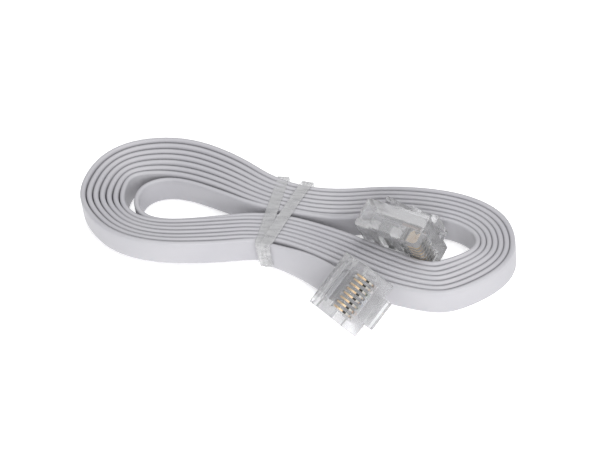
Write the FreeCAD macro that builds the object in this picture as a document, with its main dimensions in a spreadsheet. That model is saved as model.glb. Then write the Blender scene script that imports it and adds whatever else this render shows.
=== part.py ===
import FreeCAD, Part
import Sketcher
import math
import os

V = FreeCAD.Vector
R = FreeCAD.Rotation

doc = FreeCAD.newDocument("patch_cable")

# Driving dimensions, in millimetres and degrees.
DIMS = {
    "cable_width": 5.6, "cable_thick": 1.05,
    "plug_width": 11.68, "plug_length": 14.0, "plug_height": 6.3,
    "lip_length": 3.2, "face_recess": 0.4, "recess_end": 8.0, "nose_chamfer": 0.4,
    "wire_level": 3.75, "mouth_width": 8.0, "mouth_height": 3.4, "mouth_depth": 2.2,
    "bore_width": 6.2, "bore_height": 1.7, "bore_depth": 8.4,
    "row_width": 8.5, "row_height": 1.0, "row_start": 8.15, "row_depth": 13.1,
    "window_width": 6.4, "window_start": 4.2, "window_end": 7.0,
    "groove_width": 8.3, "groove_start": 9.8, "groove_end": 10.6,
    "contact_pitch": 1.016, "slot_width": 0.46, "slot_start": 10.9,
    "blade_thick": 0.35, "blade_top": 0.12, "blade_root": 3.1,
    "wire_diameter": 0.8, "wire_start": 8.65, "wire_length": 4.2,
    "root_width": 6.2, "root_start": 12.2, "root_height": 1.9,
    "lever_wide": 6.0, "lever_narrow": 3.25, "lever_thick": 1.0, "lever_step": 7.6,
    "hinge_y": 12.05, "hinge_z": 7.5, "lever_end_y": 1.0, "lever_end_z": 9.15,
    "bar_foot": 1.3, "strap_width": 2.2, "strap_film": 0.3, "strap_top": 6.1,
}
CONTACTS = 8

sheet = doc.addObject("Spreadsheet::Sheet", "Dims")
for row, (name, value) in enumerate(DIMS.items(), 1):
    sheet.set("A%d" % row, name)
    sheet.set("B%d" % row, str(value))
    sheet.setAlias("B%d" % row, name)
doc.recompute()

D = DIMS
FRAME_SHIFT = V(-0.33, 10.0, 0)

# Plan stations of the outermost turn, clockwise from the tie round the left loop and back.
STATIONS = [
    (-4.8, -10.5), (-14.6, -14.2), (-25.1, -16.7), (-34.5, -14.9), (-41.4, -9.2),
    (-44.5, -2.8), (-43.1, 6.6), (-36.9, 12.7), (-25.9, 14.8), (-14.8, 12.2),
    (-5.0, 6.8), (5.3, 5.6), (18.2, 8.8), (31.8, 8.5), (41.6, 3.8), (45.7, -4.9),
    (44.0, -12.7), (36.2, -20.0), (29.8, -21.35), (18.4, -19.4), (5.9, -13.2),
]
# Extra spacing of the turns at the near side of the right loop, by station.
EXTRA_PITCH = {16: 0.1, 17: 0.19, 19: 0.15}
TIE_X = -5.0
LEFT_TURNS = 8
RIGHT_TURNS = 7


def turn_pitch(index):
    """Spacing of the turns at a station: tight at the tie, looser in both loops."""
    x, y = STATIONS[index]
    loose = 0.26 if x < TIE_X else 0.15 * min(1.0, max(0.0, (y + 19) / 14))
    extra = EXTRA_PITCH.get(index, 0)
    return D["cable_thick"] + loose * min(1.0, abs(x - TIE_X) / 12.0) + extra


def inward(index):
    """Unit vector from a station towards the inside of the hank."""
    before = STATIONS[index - 1]
    after = STATIONS[(index + 1) % len(STATIONS)]
    step = V(after[1] - before[1], before[0] - after[0], 0)
    return step.normalize()


def station(index, turns):
    """A station moved inward by a number of turns, on the spiral."""
    offset = turn_pitch(index) * (turns + index / len(STATIONS))
    return V(*STATIONS[index], 0) + inward(index) * offset


def new_body(label):
    body = doc.addObject("PartDesign::Body", label)
    body.Label = label
    return body


def origin_plane(body, role):
    return next(item for item in body.Origin.OriginFeatures if item.Role == role)


def plane_sketch(body, role, name, offset=None):
    sketch = body.newObject("Sketcher::SketchObject", name)
    sketch.AttachmentSupport = [(origin_plane(body, role), "")]
    sketch.MapMode = "FlatFace"
    if offset is not None:
        sketch.AttachmentOffset = FreeCAD.Placement(V(0, 0, offset), R())
    return sketch


def draw_loop(sketch, points):
    ends = points[1:] + points[:1]
    for start, end in zip(points, ends):
        sketch.addGeometry(Part.LineSegment(V(*start, 0), V(*end, 0)), False)


def rectangle(x_low, y_low, x_high, y_high):
    return [(x_low, y_low), (x_high, y_low), (x_high, y_high), (x_low, y_high)]


def pad(body, sketch, expression, both_ways=True):
    feature = body.newObject("PartDesign::Pad", sketch.Name + "_pad")
    feature.Profile = sketch
    feature.Midplane = both_ways
    feature.setExpression("Length", expression)
    doc.recompute()
    return feature


def pocket(body, sketch, expression, reverse=False):
    """Cut a sketch into the body, and make sure that it took material away."""
    before = body.Shape.Volume
    feature = body.newObject("PartDesign::Pocket", sketch.Name + "_cut")
    feature.Profile = sketch
    feature.Reversed = reverse
    feature.setExpression("Length", expression)
    doc.recompute()
    if body.Shape.Volume > before - 1e-6:
        raise RuntimeError("no material removed by " + feature.Name)
    return feature


def centred(width, low, high):
    return rectangle(-width / 2, low, width / 2, high)


def housing_block(body):
    """The moulded block with the stepped contact face, and the root of the latch lever."""
    height, length, cut = D["plug_height"], D["plug_length"], D["nose_chamfer"]
    lip, recess, end = D["lip_length"], D["face_recess"], D["recess_end"]
    side = plane_sketch(body, "YZ_Plane", body.Label + "_side")
    draw_loop(side, [
        (0, cut), (cut, 0), (lip, 0), (lip + recess, recess), (end, recess), (end + recess, 0),
        (length - cut, 0), (length, cut), (length, height), (cut, height), (0, height - cut),
    ])
    pad(body, side, "Dims.plug_width")
    root = plane_sketch(body, "XY_Plane", body.Label + "_root", height - 0.2)
    draw_loop(root, centred(D["root_width"], D["root_start"], length))
    pad(body, root, "Dims.root_height + 0.2", False)


def cut_passages(body):
    """The cable mouth, the bore for the jacket and the row of the wires, one behind the other."""
    passages = (
        ("mouth", 0, "Dims.mouth_depth"),
        ("bore", 0, "Dims.bore_depth"),
        ("row", D["row_start"], "Dims.row_depth - Dims.row_start"),
    )
    level = D["wire_level"]
    for name, start, reach in passages:
        half = D[name + "_height"] / 2
        back = plane_sketch(body, "XZ_Plane", "%s_%s" % (body.Label, name), -start)
        draw_loop(back, centred(D[name + "_width"], level - half, level + half))
        pocket(body, back, reach)


def cut_bar_seats(body):
    """The openings in the contact face that the two strain bars are pressed through."""
    for name in ("window", "groove"):
        face = plane_sketch(body, "XY_Plane", "%s_%s" % (body.Label, name))
        draw_loop(face, centred(D[name + "_width"], D[name + "_start"], D[name + "_end"]))
        pocket(body, face, "Dims.wire_level - 0.1", True)


def cut_contact_slots(body):
    """Eight slots for the blades, open at the contact face and at the nose."""
    slots = plane_sketch(body, "XY_Plane", body.Label + "_slots")
    first = -3.5 * D["contact_pitch"]
    half = D["slot_width"] / 2
    draw_loop(slots, rectangle(first - half, D["slot_start"], first + half, D["plug_length"] + 1))
    cut_slot = pocket(body, slots, "Dims.wire_level - 0.3", True)
    row = body.newObject("PartDesign::LinearPattern", body.Label + "_slot_row")
    row.Originals = [cut_slot]
    row.Direction = (slots, ["H_Axis"])
    row.Occurrences = CONTACTS
    row.setExpression("Length", "%d * Dims.contact_pitch" % (CONTACTS - 1))
    body.Tip = row
    doc.recompute()


def make_housing(label):
    body = new_body(label)
    housing_block(body)
    cut_passages(body)
    cut_bar_seats(body)
    cut_contact_slots(body)
    return body


def make_lever(label):
    """The sprung latch lever, from its root by the nose to the finger end."""
    body = new_body(label)
    y0, z0 = D["hinge_y"] - 0.05, D["hinge_z"]
    y1, z1 = D["lever_end_y"], D["lever_end_z"]
    step = D["lever_step"]
    half = D["lever_thick"] / 2
    z_step = z0 + (z1 - z0) * (y0 - step) / (y0 - y1)
    lengths = (("wide", step, z_step), ("narrow", y1, z1))
    for name, y_end, z_end in lengths:
        profile = plane_sketch(body, "YZ_Plane", "%s_%s" % (label, name))
        draw_loop(profile, [
            (y0, z0 - 0.25), (y0, z0 + 0.25), (y0 - 0.6, z0 + half),
            (y_end, z_end + half), (y_end, z_end - half), (y0 - 0.6, z0 - half),
        ])
        pad(body, profile, "Dims.lever_" + name)
    return body


def make_blade(label, index):
    """One contact blade, open at the plug's face, with two piercing teeth at the wire."""
    body = new_body(label)
    start, stop = D["slot_start"] + 0.2, D["plug_length"] - 0.25
    top, root = D["blade_top"], D["blade_root"]
    shoulder, tooth = root - 0.6, root + 0.12
    side = plane_sketch(body, "YZ_Plane", label + "_side", (index - 3.5) * D["contact_pitch"])
    draw_loop(side, [
        (start, top + 0.35), (start + 0.35, top), (stop - 0.35, top), (stop, top + 0.35),
        (stop, shoulder), (stop - 0.5, tooth), (stop - 1.1, shoulder),
        (start + 1.1, shoulder), (start + 0.6, tooth), (start, shoulder),
    ])
    pad(body, side, "Dims.blade_thick")
    return body


def make_bar(label, width, start, stop, top):
    """A strain bar across the plug, from its start to its stop along the plug."""
    body = new_body(label)
    base = plane_sketch(body, "XY_Plane", label + "_base", D["bar_foot"])
    draw_loop(base, centred(width, start, stop))
    pad(body, base, str(top - D["bar_foot"]), False)
    return body


def make_wire(label, index):
    wire = doc.addObject("Part::Cylinder", label)
    wire.Label = label
    wire.setExpression("Radius", "Dims.wire_diameter / 2")
    wire.setExpression("Height", "Dims.wire_length")
    seat = V((index - 3.5) * D["contact_pitch"], D["wire_start"], D["wire_level"])
    wire.Placement = FreeCAD.Placement(seat, R(V(1, 0, 0), -90))
    return wire


def plug_pose(corner, heading, nose_up, roll):
    """Pose of a plug from its rear reference point and the direction of its nose."""
    turn = R(V(0, 0, 1), heading - 90) * R(V(1, 0, 0), nose_up) * R(V(0, 1, 0), -roll)
    return FreeCAD.Placement(V(*corner) + FRAME_SHIFT, turn)


POSES = {
    "front": plug_pose((10.8, -20.3, 7.8), -54.5, 30.0, 146.0),
    "rear": plug_pose((14.87, -7.75, 5.6), -20.5, 5.0, 72.5),
}


def make_plug(side):
    """All the pieces of one plug, keyed by node name, moved to the plug's pose."""
    housing, lever = side + "_housing", side + "_lever"
    jacket_bar, wire_bar = side + "_jacket_bar", side + "_wire_bar"
    level = D["wire_level"]
    jacket_face = level - D["cable_thick"] / 2 - 0.05
    wire_face = level - D["wire_diameter"] / 2 - 0.08
    pieces = {
        housing: make_housing(housing),
        lever: make_lever(lever),
        jacket_bar: make_bar(jacket_bar, 6.1, 4.4, 6.8, jacket_face),
        wire_bar: make_bar(wire_bar, 8.0, 9.95, 10.45, wire_face),
    }
    for index in range(CONTACTS):
        blade = "%s_contact_%d" % (side, index + 1)
        pieces[blade] = make_blade(blade, index)
        wire = "%s_wire_%d" % (side, index + 1)
        pieces[wire] = make_wire(wire, index)
    for piece in pieces.values():
        piece.Placement = POSES[side].multiply(piece.Placement)
    return pieces


def closed_spline(points):
    """Smooth closed curve of the second degree that the given points pull on."""
    poles = [point + FRAME_SHIFT for point in points]
    return Part.BSplineCurve(poles, None, None, True, 2, None, False)


def make_coil(label):
    """The wound turns as one solid with the two loops open through it."""
    count = len(STATIONS)
    outer = [station(i, 0) for i in range(count)]
    left = [station(i, LEFT_TURNS + 0.1) for i in range(2, 9)]
    right = [station(i, RIGHT_TURNS + 0.1) for i in range(12, 20)]
    left.append(V(-16.0, 1.0, 0))
    right.extend([V(10.0, -6.6, 0), V(4.8, -3.6, 0), V(8.0, 0.6, 0)])
    body = new_body(label)
    plan = plane_sketch(body, "XY_Plane", label + "_plan")
    for loop in (outer, left, right):
        plan.addGeometry(closed_spline(loop), False)
    pad(body, plan, "Dims.cable_width", False)
    under = plane_sketch(body, "XY_Plane", label + "_tie_groove")
    x, y = FRAME_SHIFT.x, FRAME_SHIFT.y
    draw_loop(under, rectangle(x - 7.0, y - 14, x + 0.6, y + 9))
    pocket(body, under, "Dims.strap_film", True)
    return body


def section(centre, along, across):
    """Rectangle of the flat cable at one point of a lead."""
    across = (across - along * across.dot(along)).normalize()
    thin = along.cross(across).normalize()
    a, b = across * (D["cable_width"] / 2), thin * (D["cable_thick"] / 2)
    corners = [centre + a + b, centre - a + b, centre - a - b, centre + a - b]
    return Part.makePolygon(corners + corners[:1])


def lead_sections(route, pose):
    """Sections along a lead, upright at the hank and turned to lie across the plug at its end."""
    up = V(0, 0, 1)
    across_end = pose.Rotation.multVec(V(1, 0, 0))
    if across_end.z < 0:
        across_end = across_end * -1
    last = len(route) - 1
    sections = []
    for i, centre in enumerate(route):
        along = (route[min(i + 1, last)] - route[max(i - 1, 0)]).normalize()
        if i >= last - 1:
            along = pose.Rotation.multVec(V(0, 1, 0))
        share = min(1.0, i / (last - 1.0))
        share = share * share * (3 - 2 * share)
        sections.append(section(centre, along, up * (1 - share) + across_end * share))
    return sections


def make_lead(label, points, side):
    """The flat cable from the hank into a plug."""
    pose = POSES[side]
    level = D["wire_level"]
    tail = [pose.multVec(V(0, y, level)) for y in (-0.6, 8.2)]
    route = [V(*point) + FRAME_SHIFT for point in points] + tail
    lead = doc.addObject("Part::Feature", label)
    lead.Label = label
    lead.Shape = Part.makeLoft(lead_sections(route, pose), True, True)
    length = sum((b - a).Length for a, b in zip(route, route[1:]))
    print(label, "length", round(length, 1), "volume", round(lead.Shape.Volume, 1))
    return lead


LEAD_ROUTES = {
    "front": [
        (-3.6, -11.6, 3.2), (0.6, -12.6, 3.1), (4.6, -13.9, 3.1), (8.2, -15.9, 3.3),
        (11.0, -18.2, 4.0),
    ],
    "rear": [(6.9, -2.3, 2.85), (10.2, -2.7, 3.8), (13.2, -3.5, 5.2)],
}


def make_strap(label, near, far, middle):
    """One turn of the clear tie round the waist of the hank, between its near and far sides."""
    film = D["strap_film"]
    top = D["strap_top"]
    strap = new_body(label)
    hoop = plane_sketch(strap, "YZ_Plane", label + "_hoop")
    draw_loop(hoop, rectangle(near - film, 0, far + film, top + film))
    draw_loop(hoop, rectangle(near, 0.6 * film, far, top))
    pad(strap, hoop, "Dims.strap_width")
    strap.Placement = FreeCAD.Placement(V(middle, 0, 0) + FRAME_SHIFT, R())
    return strap


nodes = {"cable_coil": make_coil("cable_coil")}
for side, points in LEAD_ROUTES.items():
    nodes[side + "_lead"] = make_lead(side + "_lead", points, side)
    nodes.update(make_plug(side))
nodes["strap_left"] = make_strap("strap_left", -12.4, 7.5, -4.9)
nodes["strap_right"] = make_strap("strap_right", -12.9, 7.0, -2.3)
doc.recompute()

for item in doc.Objects:
    if "Invalid" in item.State or "Error" in item.State:
        raise RuntimeError("bad feature " + item.Name)

os.makedirs("parts", exist_ok=True)
box = FreeCAD.BoundBox()
for name, item in nodes.items():
    shape = item.Shape
    if shape.isNull() or not shape.isValid():
        raise RuntimeError("bad shape " + name)
    shape.exportStep("parts/%s.step" % name)
    box.add(shape.BoundBox)
print("nodes", len(nodes))
print("box", [round(v, 2) for v in (box.XMin, box.XMax, box.YMin, box.YMax, box.ZMin, box.ZMax)])
for side, pose in POSES.items():
    places = {
        "hinge": pose.multVec(V(0, D["hinge_y"], D["hinge_z"])),
        "axis": pose.Rotation.multVec(V(1, 0, 0)),
        "nose": pose.multVec(V(0, D["plug_length"], D["plug_height"] / 2)),
        "along": pose.Rotation.multVec(V(0, 1, 0)),
    }
    for name, value in places.items():
        print(side, name, [round(v, 6) for v in value])
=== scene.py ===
import math

import bmesh
import bpy
from mathutils import Matrix, Vector, noise


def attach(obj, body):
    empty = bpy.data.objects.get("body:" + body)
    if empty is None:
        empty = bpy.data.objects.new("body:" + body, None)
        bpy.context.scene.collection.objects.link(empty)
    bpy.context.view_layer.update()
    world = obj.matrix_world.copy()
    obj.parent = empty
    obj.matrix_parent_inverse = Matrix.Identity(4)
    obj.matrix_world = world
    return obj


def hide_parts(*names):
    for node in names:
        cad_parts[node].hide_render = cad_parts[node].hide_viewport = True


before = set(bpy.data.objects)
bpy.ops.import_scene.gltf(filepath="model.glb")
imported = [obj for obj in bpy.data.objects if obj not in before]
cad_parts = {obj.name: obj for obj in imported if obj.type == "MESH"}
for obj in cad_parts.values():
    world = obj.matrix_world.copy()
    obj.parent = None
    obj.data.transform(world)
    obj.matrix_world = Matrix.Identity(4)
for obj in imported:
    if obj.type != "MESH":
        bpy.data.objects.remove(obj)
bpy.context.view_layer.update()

BODY = "cable"
UP = Vector((0, 0, 1))
# Added to a place on the plan below, this gives its place in the frame.
FRAME_SHIFT = Vector((-0.00033, 0.010, 0.0))

# Flat cable: width and thickness of its section and radius of its edges, in metres.
CABLE_WIDTH = 0.0056
CABLE_THICK = 0.00105
CABLE_EDGE = 0.00046

# Plug frame: x across, y from the rear to the nose, z from the contact face to the latch.
# A pose is the place of its origin, then heading, nose-up angle and roll in degrees.
PLUG_POSES = {
    "front": ((0.0108, -0.0203, 0.0078), -54.5, 30.0, 146.0),
    "rear": ((0.01487, -0.00775, 0.0056), -20.5, 5.0, 72.5),
}
# The cable in the plug frame: its height, and y where it comes out and where it ends inside.
WIRE_LEVEL = 0.00375
TAIL_OUT = -0.0006
TAIL_IN = 0.0082

# Plan of the outermost turn, clockwise from the tie round the left loop and back.
STATIONS = [
    (-0.0048, -0.0105), (-0.0146, -0.0142), (-0.0251, -0.0167), (-0.0345, -0.0149),
    (-0.0414, -0.0092), (-0.0445, -0.0028), (-0.0431, 0.0066), (-0.0369, 0.0127),
    (-0.0259, 0.0148), (-0.0148, 0.0122), (-0.0050, 0.0068), (0.0053, 0.0056),
    (0.0182, 0.0088), (0.0318, 0.0085), (0.0416, 0.0038), (0.0457, -0.0049),
    (0.0440, -0.0127), (0.0362, -0.0200), (0.0298, -0.02135), (0.0184, -0.0194),
    (0.0059, -0.0132),
]
# Extra spacing of the turns at the near side of the right loop, by station.
EXTRA_PITCH = {16: 0.0001, 17: 0.00019, 19: 0.00015}
# How far the stations of an inner turn slide to keep the ends of the loops round.
ROUND_OFF = {
    3: (-0.0003, -0.0005), 4: (0.0003, -0.0013), 5: (0.0001, 0.0009), 6: (-0.0006, 0.0007),
    7: (0.0, 0.0005), 14: (-0.0004, 0.0002), 15: (0.0001, 0.0011), 16: (0.0001, -0.0014),
    17: (0.0012, 0.0003), 18: (-0.0013, -0.0001),
}
# The last turn's left end is a smaller loop of its own, by station.
LAST_LOOP = {
    1: (-0.0173, -0.0060), 2: (-0.0245, -0.0075), 3: (-0.0292, -0.0069), 4: (-0.0318, -0.0045),
    5: (-0.0328, -0.0013), 6: (-0.0319, 0.0020), 7: (-0.0287, 0.0041), 8: (-0.0240, 0.0042),
    9: (-0.0172, 0.0022),
}
# Times that the cable goes round the left loop, and the station where its last turn ends.
LEFT_TURNS = 8
LAST_STATION = 10
TIE_X = -0.005
# Spacing added in each loop, and the distance from the tie over which it is gained.
LOOSE_LEFT, LOOSE_RIGHT = 0.00026, 0.00015
LOOSE_SPAN = 0.012
# The right loop's added spacing grows from its near edge backwards.
NEAR_EDGE, NEAR_EDGE_SPAN = -0.019, 0.014
# Height gained per turn, and the start and span of each rise, outwards from the waist.
RIDE_LEFT, LEFT_RISE = 0.00034, (0.002, 0.025)
RIDE_RIGHT, RIGHT_RISE, NEAR_RISE = 0.00018, (0.006, 0.016), (0.001, 0.010)
# Unevenness of the turns away from the tie: height, phase per turn and per metre, and span.
SLACK, SLACK_PER_TURN, SLACK_PER_METRE, SLACK_SPAN = 0.00012, 2.1, 40, 0.01
# Space under the turns for the clear tie, and the distance over which it closes.
TIE_LIFT, LIFT_SPAN = 0.0002, 0.016
FRONT_LEAD = [
    (0.0110, -0.0182, 0.0040), (0.0082, -0.0159, 0.0033), (0.0046, -0.0139, 0.0031),
    (0.0006, -0.0126, 0.0031), (-0.0036, -0.0116, 0.0032),
]
REAR_LEAD = [(0.0069, -0.0023, 0.00285), (0.0102, -0.0027, 0.0038), (0.0132, -0.0035, 0.0052)]


def clamp(value, low=0.0, high=1.0):
    return max(low, min(high, value))


def smooth(value):
    value = clamp(value)
    return value * value * (3 - 2 * value)


def rise(value, start, span):
    """Smooth step, 0 up to the start and 1 from one span beyond it."""
    return smooth((value - start) / span)


def direction(line, index):
    """Unit vector along a line at one of its points."""
    return (line[min(index + 1, len(line) - 1)] - line[max(index - 1, 0)]).normalized()


def plug_matrix(side):
    """A plug's place and turn in the frame."""
    origin, heading, nose_up, roll = PLUG_POSES[side]
    turn = (Matrix.Rotation(math.radians(heading - 90), 4, "Z")
            @ Matrix.Rotation(math.radians(nose_up), 4, "X")
            @ Matrix.Rotation(math.radians(-roll), 4, "Y"))
    return Matrix.Translation(Vector(origin) + FRAME_SHIFT) @ turn


# ---------------------------------------------------------------- cable route
def turn_pitch(index):
    """Spacing of the turns at a station: flat to flat at the tie, looser in both loops."""
    x, y = STATIONS[index]
    loose = LOOSE_LEFT if x < TIE_X else LOOSE_RIGHT * clamp((y - NEAR_EDGE) / NEAR_EDGE_SPAN)
    return CABLE_THICK + loose * clamp(abs(x - TIE_X) / LOOSE_SPAN) + EXTRA_PITCH.get(index, 0)


def inward(index):
    """Unit vector from a station towards the inside of the hank."""
    before = STATIONS[index - 1]
    after = STATIONS[(index + 1) % len(STATIONS)]
    return Vector((after[1] - before[1], before[0] - after[0], 0)).normalized()


def turn_height(x, y, turn):
    """Height of a turn's middle: outer turns ride up in the left loop, inner ones at near right."""
    from_tie = abs(x - TIE_X)
    left = RIDE_LEFT * (LEFT_TURNS - 1 - turn) * rise(-x, *LEFT_RISE)
    right = RIDE_RIGHT * turn * rise(x, *RIGHT_RISE) * rise(-y, *NEAR_RISE)
    wave = math.sin(SLACK_PER_TURN * turn + SLACK_PER_METRE * x)
    slack = SLACK * wave * rise(from_tie, 0, SLACK_SPAN)
    over_tie = TIE_LIFT * (1 - rise(from_tie, 0, LIFT_SPAN))
    return CABLE_WIDTH / 2 + left + right + abs(slack) + over_tie


def coil_point(index, turn):
    """Middle of the cable at one station of one turn, each turn lying inside the one before."""
    x, y = STATIONS[index]
    offset = turn_pitch(index) * (turn + index / len(STATIONS)) + CABLE_THICK / 2
    slide = Vector((*ROUND_OFF.get(index, (0, 0)), 0)) * (turn / (LEFT_TURNS - 1)) ** 2
    place = Vector((x, y, 0)) + inward(index) * offset + slide
    if turn == LEFT_TURNS - 1 and index in LAST_LOOP:
        place = Vector((*LAST_LOOP[index], 0))
    place.z = turn_height(x, y, turn)
    return place


def plug_end(side):
    """The cable's two points at a plug, from inside it outwards, and its width direction there."""
    pose = plug_matrix(side)
    across = (pose.to_3x3() @ Vector((1, 0, 0))).normalized()
    if across.z < 0:
        across.negate()
    return [pose @ Vector((0, y, WIRE_LEVEL)) for y in (TAIL_IN, TAIL_OUT)], across


def lead_shares(lead):
    """How far along a lead each of its points is, from 0 to 1."""
    return [(i + 1) / (len(lead) + 1) for i in range(len(lead))]


def lead_turning(across, shares):
    """Width directions along a lead: upright at share 0, the plug's own at share 1."""
    return [UP.lerp(across, smooth(share)).normalized() for share in shares]


def cable_route():
    """Control points of the whole cable, each with the direction of the cable's width there."""
    tail, plug_across = plug_end("front")
    route = tail + [Vector(p) + FRAME_SHIFT for p in FRONT_LEAD]
    shares = [1 - share for share in lead_shares(FRONT_LEAD)]
    across = [plug_across] * 2 + lead_turning(plug_across, shares)
    for turn in range(LEFT_TURNS):
        stations = len(STATIONS) if turn < LEFT_TURNS - 1 else LAST_STATION + 1
        route += [coil_point(i, turn) + FRAME_SHIFT for i in range(stations)]
        across += [UP] * stations
    tail, plug_across = plug_end("rear")
    route += [Vector(p) + FRAME_SHIFT for p in REAR_LEAD] + tail[::-1]
    across += lead_turning(plug_across, lead_shares(REAR_LEAD)) + [plug_across] * 2
    return route, across


def smooth_line(name, points, steps):
    """Points of the NURBS line through the route, read from a curve with no bevel."""
    curve = bpy.data.curves.new(name, "CURVE")
    curve.dimensions = "3D"
    spline = curve.splines.new("NURBS")
    spline.points.add(len(points) - 1)
    for item, point in zip(spline.points, points):
        item.co = (*point, 1.0)
    spline.order_u = 3
    spline.use_endpoint_u = True
    curve.resolution_u = steps
    holder = bpy.data.objects.new(name, curve)
    mesh = bpy.data.meshes.new_from_object(holder)
    line = [vertex.co.copy() for vertex in mesh.vertices]
    bpy.data.objects.remove(holder)
    bpy.data.meshes.remove(mesh)
    bpy.data.curves.remove(curve)
    return line


def cable_section():
    """Outline of the flat cable: two flat faces and rounded edges, as (width, thickness)."""
    half_w, half_t = CABLE_WIDTH / 2 - CABLE_EDGE, CABLE_THICK / 2 - CABLE_EDGE
    outline = []
    for corner, (sw, st) in enumerate(((1, 1), (-1, 1), (-1, -1), (1, -1))):
        for step in range(4):
            angle = math.pi / 2 * (corner + step / 3)
            outline.append((sw * half_w + CABLE_EDGE * math.cos(angle),
                            st * half_t + CABLE_EDGE * math.sin(angle)))
        if corner in (0, 2):
            side = outline[-1][1]
            outline += [(sw * half_w * f, side) for f in (0.6, 0.2, -0.2, -0.6)]
    return outline


def sweep(name, line, widths, outline):
    """A closed mesh that carries one outline along a line, its width along the directions given."""
    mesh_points, faces = [], []
    count = len(outline)
    for index, centre in enumerate(line):
        along = direction(line, index)
        wide = (widths[index] - along * widths[index].dot(along)).normalized()
        thin = along.cross(wide)
        mesh_points += [centre + wide * w + thin * t for w, t in outline]
    for ring in range(len(line) - 1):
        for step in range(count):
            a, b = ring * count + step, ring * count + (step + 1) % count
            faces.append((a, b, b + count, a + count))
    faces.append(tuple(range(count))[::-1])
    faces.append(tuple(range((len(line) - 1) * count, len(line) * count)))
    mesh = bpy.data.meshes.new(name)
    mesh.from_pydata([tuple(p) for p in mesh_points], [], faces)
    mesh.validate()
    working = bmesh.new()
    working.from_mesh(mesh)
    bmesh.ops.recalc_face_normals(working, faces=working.faces)
    working.to_mesh(mesh)
    working.free()
    for face in mesh.polygons:
        face.use_smooth = True
    piece = bpy.data.objects.new(name, mesh)
    bpy.context.scene.collection.objects.link(piece)
    return piece


def widths_along(line, across):
    """Width directions at every point of a line whose route has one direction per point."""
    # A NURBS line of order 3 has two spans fewer than it has control points.
    spans = len(across) - 2
    widths = []
    for index in range(len(line)):
        place = clamp(index / (len(line) - 1) * spans + 0.5, 0, len(across) - 1)
        low = min(int(place), len(across) - 2)
        widths.append(across[low].lerp(across[low + 1], place - low))
    return widths


# ---------------------------------------------------------------- materials
def new_material(name, colour, roughness, **sockets):
    """A material and its shader; further sockets are given by name, with _ for a space."""
    material = bpy.data.materials.new(name)
    material.use_nodes = True
    shader = material.node_tree.nodes["Principled BSDF"]
    shader.inputs["Base Color"].default_value = (*colour, 1.0)
    shader.inputs["Roughness"].default_value = roughness
    for socket, value in sockets.items():
        shader.inputs[socket.replace("_", " ")].default_value = value
    return material, shader


def add_noise(material, scale, detail=3.0, stretch=(1, 1, 1)):
    """A noise texture in the piece's own coordinates."""
    nodes, links = material.node_tree.nodes, material.node_tree.links
    place = nodes.new("ShaderNodeTexCoord")
    mapping = nodes.new("ShaderNodeMapping")
    mapping.inputs["Scale"].default_value = stretch
    texture = nodes.new("ShaderNodeTexNoise")
    texture.inputs["Scale"].default_value = scale
    texture.inputs["Detail"].default_value = detail
    links.new(place.outputs["Object"], mapping.inputs["Vector"])
    links.new(mapping.outputs["Vector"], texture.inputs["Vector"])
    return texture


def add_ramp(material, factor, dark, light, socket):
    """Drive a colour socket from a factor, between two stops given as (position, colour)."""
    nodes, links = material.node_tree.nodes, material.node_tree.links
    ramp = nodes.new("ShaderNodeValToRGB")
    for element, (position, colour) in zip(ramp.color_ramp.elements, (dark, light)):
        element.position = position
        element.color = (*colour, 1)
    links.new(factor, ramp.inputs["Fac"])
    links.new(ramp.outputs["Color"], socket)


def vary_colour(material, shader, texture, dark, light):
    """Blend the base colour over the middle of a texture's range."""
    add_ramp(material, texture.outputs["Fac"], (0.3, dark), (0.7, light),
             shader.inputs["Base Color"])


def vary_value(material, texture, socket, low, high, start=0.0, end=1.0):
    """Drive a number socket between two values over a texture's range from start to end."""
    nodes, links = material.node_tree.nodes, material.node_tree.links
    spread = nodes.new("ShaderNodeMapRange")
    spread.inputs["From Min"].default_value = start
    spread.inputs["From Max"].default_value = end
    spread.inputs["To Min"].default_value = low
    spread.inputs["To Max"].default_value = high
    links.new(texture.outputs["Fac"], spread.inputs["Value"])
    links.new(spread.outputs["Result"], socket)


def add_bump(material, shader, texture, strength, distance):
    nodes, links = material.node_tree.nodes, material.node_tree.links
    bump = nodes.new("ShaderNodeBump")
    bump.inputs["Strength"].default_value = strength
    bump.inputs["Distance"].default_value = distance
    links.new(texture.outputs["Fac"], bump.inputs["Height"])
    links.new(bump.outputs["Normal"], shader.inputs["Normal"])


def add_math(material, operation, first, second):
    """Output of a maths node on one socket and a second socket or number."""
    node = material.node_tree.nodes.new("ShaderNodeMath")
    node.operation = operation
    material.node_tree.links.new(first, node.inputs[0])
    if isinstance(second, float):
        node.inputs[1].default_value = second
    else:
        material.node_tree.links.new(second, node.inputs[1])
    return node.outputs[0]


def add_mix(material, factor, base, colour):
    """Output of a mix node: the base where the factor is 0, the colour where it is 1."""
    mix = material.node_tree.nodes.new("ShaderNodeMix")
    mix.data_type = "RGBA"
    colour_in = [socket for socket in mix.inputs if socket.type == "RGBA"]
    colour_in[1].default_value = colour
    material.node_tree.links.new(factor, mix.inputs[0])
    material.node_tree.links.new(base, colour_in[0])
    return next(socket for socket in mix.outputs if socket.type == "RGBA")


def cable_material():
    """Light grey soft vinyl with a satin skin and faint draw marks."""
    material, shader = new_material("soft_vinyl", (0.47, 0.465, 0.49), 0.42,
                                    Specular_IOR_Level=0.4)
    vary_colour(material, shader, add_noise(material, 90, 4),
                (0.415, 0.41, 0.436), (0.452, 0.447, 0.468))
    vary_value(material, add_noise(material, 220), shader.inputs["Roughness"], 0.34, 0.5)
    add_bump(material, shader, add_noise(material, 1800, 2), 0.12, 0.00002)
    return material


CLEAR = (0.84, 0.84, 0.85)
CLEAR_BAR = (0.80, 0.81, 0.81)
# Share of its colour that clear plastic keeps where it is seen edge on: painted shade at its edges.
EDGE_SHADE = 0.66
CLEAR_RELIEF = 0.00006


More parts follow.
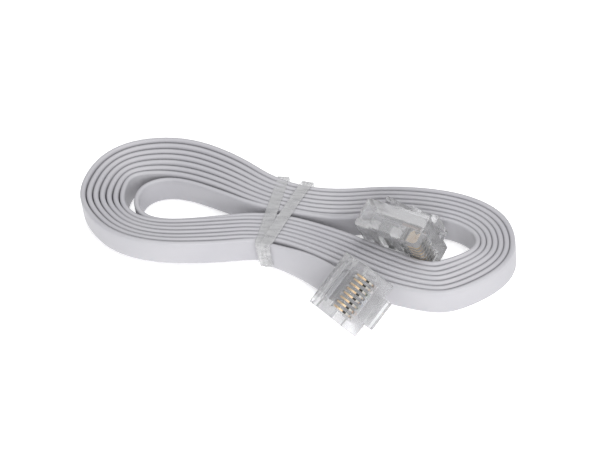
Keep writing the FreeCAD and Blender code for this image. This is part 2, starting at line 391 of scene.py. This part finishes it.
def clear_material(name, colour, roughness, depth, bump, clarity):
    """Clear moulded plastic: flow marks in its skin, a little haze, and painted shade towards its
    edges.
    """
    material, shader = new_material(name, colour, roughness,
                                    Transmission_Weight=clarity, IOR=1.42)
    # Painted shade: the base colour darkens where the plastic is seen edge on.
    slant = material.node_tree.nodes.new("ShaderNodeLayerWeight")
    slant.inputs["Blend"].default_value = 0.5
    shaded = tuple(EDGE_SHADE * c for c in colour)
    add_ramp(material, slant.outputs["Facing"], (0.45, colour), (0.95, shaded),
             shader.inputs["Base Color"])
    vary_value(material, add_noise(material, 260), shader.inputs["Roughness"],
               roughness, roughness + depth)
    add_bump(material, shader, add_noise(material, 420), bump, CLEAR_RELIEF)
    return material


# How metallic the plating looks: the rear plug's is seen through the clear wall beside it.
CONTACT_SHEEN = {"front": 0.6, "rear": 0.1}
# The blades' shoulder in the plug frame: y where it starts, then z and colour of its bands.
SHOULDER_START = 0.0134
# The first band is painted shadow at the deep ends of the slots, the second is bare metal.
SHADOW_AND_METAL_BANDS = ((0.00135, (0.02, 0.018, 0.016, 1)), (0.0021, (0.62, 0.60, 0.56, 1)))


def contact_material(side):
    """Gold plating with fine wear; at the plug's nose, a dark band of painted slot shadow on the
    shoulder, then bare metal.
    """
    material, shader = new_material("gold_plate_and_slot_shadow_" + side, (0.83, 0.62, 0.36), 0.25,
                                    Metallic=CONTACT_SHEEN[side])
    nodes, links = material.node_tree.nodes, material.node_tree.links
    wear = add_noise(material, 900, 4)
    vary_colour(material, shader, wear, (0.68, 0.49, 0.29), (0.84, 0.68, 0.47))
    vary_value(material, wear, shader.inputs["Roughness"], 0.22, 0.42)
    to_plug = plug_matrix(side).inverted()
    mapping = nodes.new("ShaderNodeMapping")
    mapping.inputs["Location"].default_value = to_plug.to_translation()
    mapping.inputs["Rotation"].default_value = to_plug.to_euler("XYZ")
    place = nodes.new("ShaderNodeSeparateXYZ")
    links.new(nodes.new("ShaderNodeTexCoord").outputs["Object"], mapping.inputs["Vector"])
    links.new(mapping.outputs["Vector"], place.inputs["Vector"])
    plating_and_shadow = shader.inputs["Base Color"].links[0].from_socket
    # Paint the slot shadow, then bare metal above it, onto the blades' shoulder at the nose.
    for level, colour in SHADOW_AND_METAL_BANDS:
        at_nose = add_math(material, "GREATER_THAN", place.outputs["Y"], SHOULDER_START)
        above = add_math(material, "GREATER_THAN", place.outputs["Z"], level)
        both = add_math(material, "MULTIPLY", at_nose, above)
        plating_and_shadow = add_mix(material, both, plating_and_shadow, colour)
    links.new(plating_and_shadow, shader.inputs["Base Color"])
    return material


def film_material():
    """Thin clear film of the tie: mostly see-through, with creases and fine ripples across it."""
    material, shader = new_material("clear_film", (0.60, 0.60, 0.605), 0.2, Alpha=0.36)
    vary_value(material, add_noise(material, 500), shader.inputs["Roughness"], 0.16, 0.34)
    ripples = add_noise(material, 900, stretch=(0.3, 1, 1))
    add_bump(material, shader, ripples, 0.4, 0.0001)
    vary_value(material, ripples, shader.inputs["Alpha"], 0.22, 0.56, start=0.35, end=0.65)
    return material


def wire_material(name, colour):
    """A wire's soft skin, with faint darker patches."""
    material, shader = new_material("wire_" + name, colour, 0.4)
    dark = tuple(c * 0.85 for c in colour)
    vary_colour(material, shader, add_noise(material, 600), dark, colour)
    add_bump(material, shader, add_noise(material, 1500, 2), 0.1, 0.00002)
    return material


# ---------------------------------------------------------------- plugs
WIRES = {
    1: ("orange_white", (0.74, 0.66, 0.60)), 2: ("orange", (0.62, 0.42, 0.30)),
    3: ("green_white", (0.62, 0.68, 0.62)), 4: ("blue", (0.30, 0.34, 0.46)),
    5: ("blue_white", (0.62, 0.65, 0.72)), 6: ("green", (0.34, 0.46, 0.36)),
    7: ("brown_white", (0.66, 0.60, 0.57)), 8: ("brown", (0.38, 0.30, 0.26)),
}
MOULDED_EDGE = 0.00013
# Edges that turn by more than this many degrees are rounded.
EDGE_ANGLE = 40
WELD_GAP = 0.000001


def paint(node_name, material):
    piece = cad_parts[node_name]
    piece.data.materials.clear()
    piece.data.materials.append(material)


def soften_edges(piece):
    """The small radius that moulded edges have."""
    weld = piece.modifiers.new("weld", "WELD")
    weld.merge_threshold = WELD_GAP
    bevel = piece.modifiers.new("edges", "BEVEL")
    bevel.width = MOULDED_EDGE
    bevel.segments = 2
    bevel.limit_method = "ANGLE"
    bevel.angle_limit = math.radians(EDGE_ANGLE)


def dress_plugs():
    """Materials and soft edges for the CAD pieces of both plugs."""
    clear = clear_material("clear_moulding", CLEAR, 0.03, 0.08, 0.25, 0.82)
    clear_soft = clear_material("clear_latch_moulding", CLEAR, 0.06, 0.1, 0.2, 0.78)
    bar = clear_material("clear_bar_moulding", CLEAR_BAR, 0.12, 0.15, 0.3, 0.72)
    wires = {index: wire_material(*WIRES[index]) for index in WIRES}
    for side in PLUG_POSES:
        gold = contact_material(side)
        for name in ("_housing", "_lever"):
            soften_edges(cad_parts[side + name])
        paint(side + "_housing", clear)
        paint(side + "_lever", clear_soft)
        paint(side + "_jacket_bar", bar)
        paint(side + "_wire_bar", bar)
        for index in WIRES:
            paint("%s_contact_%d" % (side, index), gold)
            paint("%s_wire_%d" % (side, index), wires[index])


# ---------------------------------------------------------------- clear tie
STRAP_NEAR = -0.0123
# Height of the film's underside run, and of its top run at the near and the far edge.
STRAP_LOW, STRAP_HIGH, STRAP_FAR_HIGH = 0.00011, 0.00605, 0.00585
STRAP_WIDTH, STRAP_FILM = 0.0024, 0.00012
# How far the film stands off the turns on its two upright runs.
STRAP_CLEAR = 0.00008
STRAP_RIPPLE = 0.00005
# The near side is gathered: how far in from the near edge, over what depth and what height.
GATHER_IN, GATHER_DEPTH, GATHER_HEIGHT = 0.0012, 0.001, 0.002
# Share by which the gathered film narrows, and the depth of its folds.
GATHER_SHARE, FOLD_DEPTH = 0.2, 0.0004
# Above this height the film lies on top of the turns, below the other it lies under them.
STRAP_TOP, STRAP_UNDER = 0.0055, 0.002
# Each band of the tie: its middle at the far edge, the near edge and the foot, how far back
# it reaches, and how far it lies off the turns.
STRAP_BANDS = {
    "tie_band_left": (-0.0044, -0.0046, -0.0038, 0.0071, 0.0),
    "tie_band_right": (0.0008, -0.0036, -0.0030, 0.0061, 0.00016),
}


def strap_route(far_x, near_x, foot_x, far_y, layer):
    """Loop of one band round the waist, over the top, down the near side and back underneath."""
    points = []
    for step in range(13):
        share = step / 12
        x = far_x + (near_x - far_x) * share ** 0.9
        ripple = STRAP_RIPPLE * math.sin(11 * share + far_x * 900)
        high = STRAP_FAR_HIGH + (STRAP_HIGH - STRAP_FAR_HIGH) * share + layer + ripple
        points.append((x, far_y + (STRAP_NEAR - far_y) * share, high))
    for step in range(1, 6):
        share = step / 6
        points.append((near_x + (foot_x - near_x) * share, STRAP_NEAR - layer - STRAP_CLEAR,
                       STRAP_HIGH * (1 - share) + STRAP_LOW * share))
    for step in range(9):
        share = step / 8
        points.append((foot_x + (far_x - foot_x) * share,
                       STRAP_NEAR + (far_y - STRAP_NEAR) * share, STRAP_LOW))
    for step in range(1, 4):
        share = step / 4
        points.append((far_x, far_y + layer + STRAP_CLEAR,
                       STRAP_LOW + (STRAP_FAR_HIGH - STRAP_LOW) * share))
    points.append(points[0])
    return [Vector(point) + FRAME_SHIFT for point in points]


def strap_directions(line):
    """Width directions of a band, always level and across its own run."""
    widths = []
    for index, place in enumerate(line):
        along = direction(line, index)
        if abs(along.z) < 0.7:
            outward = Vector((0, 0, -1 if place.z < STRAP_UNDER else 1))
        else:
            outward = Vector((0, -1 if place.y < FRAME_SHIFT.y else 1, 0))
        widths.append(along.cross(outward).normalized())
    return widths


def make_strap(name, far_x, near_x, foot_x, far_y, layer):
    """One band of film, gathered and folded at the near side, faintly uneven on top."""
    line = smooth_line(name + "_line", strap_route(far_x, near_x, foot_x, far_y, layer), 5)
    half = STRAP_FILM / 2
    across = [-1 + 2 * i / 14 for i in range(15)]
    outline = [(w * STRAP_WIDTH / 2, half) for w in across]
    outline += [(w * STRAP_WIDTH / 2, -half) for w in reversed(across)]
    piece = sweep(name, line, strap_directions(line), outline)
    for vertex in piece.data.vertices:
        place = vertex.co - FRAME_SHIFT
        gather = (smooth((STRAP_NEAR + GATHER_IN - place.y) / GATHER_DEPTH)
                  * smooth(place.z / GATHER_HEIGHT))
        middle = near_x + (foot_x - near_x) * (1 - place.z / STRAP_HIGH)
        vertex.co.x += (middle - place.x) * GATHER_SHARE * gather
        folds = noise.noise(Vector((place.x * 1700, place.z * 220, far_x * 900)))
        vertex.co.y -= FOLD_DEPTH * gather * (folds + 0.45)
        if place.z > STRAP_TOP:
            ripple = noise.noise(Vector((place.x * 900, place.y * 500, 3)))
            vertex.co.z += STRAP_RIPPLE * ripple
    return piece


def make_tie():
    """Both bands of the tie, in place of the CAD's plain hoops."""
    film = film_material()
    for name, node in (("tie_band_left", "strap_left"), ("tie_band_right", "strap_right")):
        band = make_strap(name, *STRAP_BANDS[name])
        band.data.materials.append(film)
        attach(band, BODY)
        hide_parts(node)


# ---------------------------------------------------------------- build
route, across = cable_route()
line = smooth_line("cable_line", route, 6)
cable = sweep("flat_cable", line, widths_along(line, across), cable_section())
cable.data.materials.append(cable_material())
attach(cable, BODY)
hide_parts("cable_coil", "front_lead", "rear_lead")

dress_plugs()
make_tie()

rear_names = ["housing", "lever", "jacket_bar", "wire_bar"]
rear_names += ["contact_%d" % i for i in WIRES] + ["wire_%d" % i for i in WIRES]


# ---------------------------------------------------------------- stage
FLOOR_REACH = 3
FLOOR_GLOW = 0.44
WORLD_COLOUR, WORLD_STRENGTH = (0.98, 0.985, 1.0), 0.46
# Each area light: its place, its size and its power. Both aim at the origin.
LIGHTS = {
    "key": ((0.22, -0.50, 0.27), (0.42, 0.34), 2.5),
    "top": ((0.05, 0.10, 0.70), (0.5, 0.4), 2.7),
}
SENSOR_WIDTH, LENS = 36.0, 151.5
CAMERA_DISTANCE = 0.5
# Directions to the camera's right and from what it looks at back towards it.
CAMERA_RIGHT = Vector((0.9697, 0.2234, -0.0993))
CAMERA_BACK = Vector((0.2275, -0.6760, 0.7009))


def make_floor():
    mesh = bpy.data.meshes.new("floor")
    signs = ((-1, -1), (1, -1), (1, 1), (-1, 1))
    mesh.from_pydata([(FLOOR_REACH * x, FLOOR_REACH * y, 0) for x, y in signs], [], [(0, 1, 2, 3)])
    floor = bpy.data.objects.new("floor", mesh)
    bpy.context.scene.collection.objects.link(floor)
    material, shader = new_material("pale_floor", (0.90, 0.90, 0.905), 0.8,
                                    Emission_Strength=FLOOR_GLOW)
    shader.inputs["Emission Color"].default_value = (1, 1, 1, 1)
    mesh.materials.append(material)


def make_light(name, place, size, power):
    data = bpy.data.lights.new(name, "AREA")
    data.shape = "RECTANGLE"
    data.size, data.size_y = size
    data.energy = power
    light = bpy.data.objects.new(name, data)
    bpy.context.scene.collection.objects.link(light)
    light.location = place
    light.rotation_mode = "QUATERNION"
    light.rotation_quaternion = (-Vector(place)).to_track_quat("-Z", "Y")


def make_world():
    world = bpy.data.worlds.new("studio")
    world.use_nodes = True
    background = world.node_tree.nodes["Background"]
    background.inputs["Color"].default_value = (*WORLD_COLOUR, 1)
    background.inputs["Strength"].default_value = WORLD_STRENGTH
    bpy.context.scene.world = world


def make_camera():
    data = bpy.data.cameras.new("camera")
    data.sensor_width = SENSOR_WIDTH
    data.lens = LENS
    data.clip_start, data.clip_end = 0.01, 20
    camera = bpy.data.objects.new("camera", data)
    bpy.context.scene.collection.objects.link(camera)
    back = CAMERA_BACK.normalized()
    up = back.cross(CAMERA_RIGHT.normalized()).normalized()
    turn = Matrix((up.cross(back), up, back)).transposed().to_4x4()
    camera.matrix_world = Matrix.Translation(FRAME_SHIFT + back * CAMERA_DISTANCE) @ turn
    bpy.context.scene.camera = camera


make_floor()
make_world()
for name, (place, size, power) in LIGHTS.items():
    make_light(name, place, size, power)
make_camera()
bpy.context.scene.view_settings.view_transform = "Standard"
